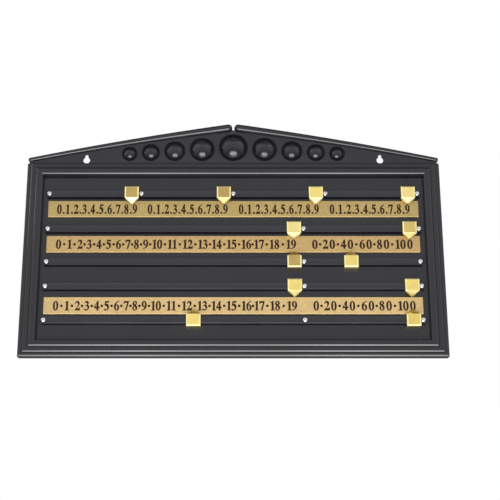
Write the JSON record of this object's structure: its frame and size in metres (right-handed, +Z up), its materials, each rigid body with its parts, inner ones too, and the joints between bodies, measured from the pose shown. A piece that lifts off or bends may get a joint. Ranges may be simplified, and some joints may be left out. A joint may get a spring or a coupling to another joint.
{
  "type": "billiard scoreboard",
  "caption": "Wall-hung black plastic billiard scoreboard with a low domed gable, number strips and gold pointers that slide along rails between stop screws.",
  "frame": {"origin": "middle of the wall pad at the board's back, on the wall plane at half the board's height", "axes": "+X along the board to the reader's right, +Y into the wall, +Z up; the numbers face -Y"},
  "size_m": [0.69, 0.024, 0.3999],
  "materials": {
    "black_plastic": "gloss",
    "rail_plastic": "satin",
    "strip_brass": "brushed",
    "slider_gold": "metallic gold",
    "screw_steel": "polished"
  },
  "bodies": {
    "board": {"board_moulding": "black_plastic", "rail_1": "rail_plastic", "rail_2": "rail_plastic", "rail_3": "rail_plastic", "rail_4": "rail_plastic", "rail_5": "rail_plastic", "number_strip_1": "strip_brass", "number_strip_2": "strip_brass", "number_strip_3": "strip_brass", "screw_1_1": "screw_steel", "screw_1_2": "screw_steel", "screw_1_3": "screw_steel", "screw_1_4": "screw_steel", "screw_1_5": "screw_steel", "screw_2_1": "screw_steel", "screw_2_2": "screw_steel", "screw_2_3": "screw_steel", "screw_3_1": "screw_steel", "screw_3_2": "screw_steel", "screw_3_3": "screw_steel", "screw_4_1": "screw_steel", "screw_4_2": "screw_steel", "screw_4_3": "screw_steel", "screw_5_1": "screw_steel", "screw_5_2": "screw_steel", "screw_5_3": "screw_steel"},
    "pointer_1_1": {"slider_1_1": "slider_gold"},
    "pointer_1_2": {"slider_1_2": "slider_gold"},
    "pointer_1_3": {"slider_1_3": "slider_gold"},
    "pointer_1_4": {"slider_1_4": "slider_gold"},
    "pointer_2_1": {"slider_2_1": "slider_gold"},
    "pointer_2_2": {"slider_2_2": "slider_gold"},
    "pointer_3_1": {"slider_3_1": "slider_gold"},
    "pointer_3_2": {"slider_3_2": "slider_gold"},
    "pointer_4_1": {"slider_4_1": "slider_gold"},
    "pointer_4_2": {"slider_4_2": "slider_gold"},
    "pointer_5_1": {"slider_5_1": "slider_gold"},
    "pointer_5_2": {"slider_5_2": "slider_gold"}
  },
  "joints": [
    {"name": "slide_1_1", "type": "slide", "parent": "board", "child": "pointer_1_1", "axis": [1, 0, 0], "range_m": [-0.1215, 0]},
    {"name": "slide_1_2", "type": "slide", "parent": "board", "child": "pointer_1_2", "axis": [1, 0, 0], "range_m": [-0.1215, 0]},
    {"name": "slide_1_3", "type": "slide", "parent": "board", "child": "pointer_1_3", "axis": [1, 0, 0], "range_m": [-0.1215, 0]},
    {"name": "slide_1_4", "type": "slide", "parent": "board", "child": "pointer_1_4", "axis": [1, 0, 0], "range_m": [-0.1215, 0]},
    {"name": "slide_2_1", "type": "slide", "parent": "board", "child": "pointer_2_1", "axis": [1, 0, 0], "range_m": [-0.3899, 0]},
    {"name": "slide_2_2", "type": "slide", "parent": "board", "child": "pointer_2_2", "axis": [1, 0, 0], "range_m": [-0.1589, 0]},
    {"name": "slide_3_1", "type": "slide", "parent": "board", "child": "pointer_3_1", "axis": [1, 0, 0], "range_m": [-0.3899, 0]},
    {"name": "slide_3_2", "type": "slide", "parent": "board", "child": "pointer_3_2", "axis": [1, 0, 0], "range_m": [-0.0614, 0.0974]},
    {"name": "slide_4_1", "type": "slide", "parent": "board", "child": "pointer_4_1", "axis": [1, 0, 0], "range_m": [-0.3899, 0]},
    {"name": "slide_4_2", "type": "slide", "parent": "board", "child": "pointer_4_2", "axis": [1, 0, 0], "range_m": [-0.1589, 0]},
    {"name": "slide_5_1", "type": "slide", "parent": "board", "child": "pointer_5_1", "axis": [1, 0, 0], "range_m": [-0.226, 0.1638]},
    {"name": "slide_5_2", "type": "slide", "parent": "board", "child": "pointer_5_2", "axis": [1, 0, 0], "range_m": [-0.1589, 0]}
  ]
}
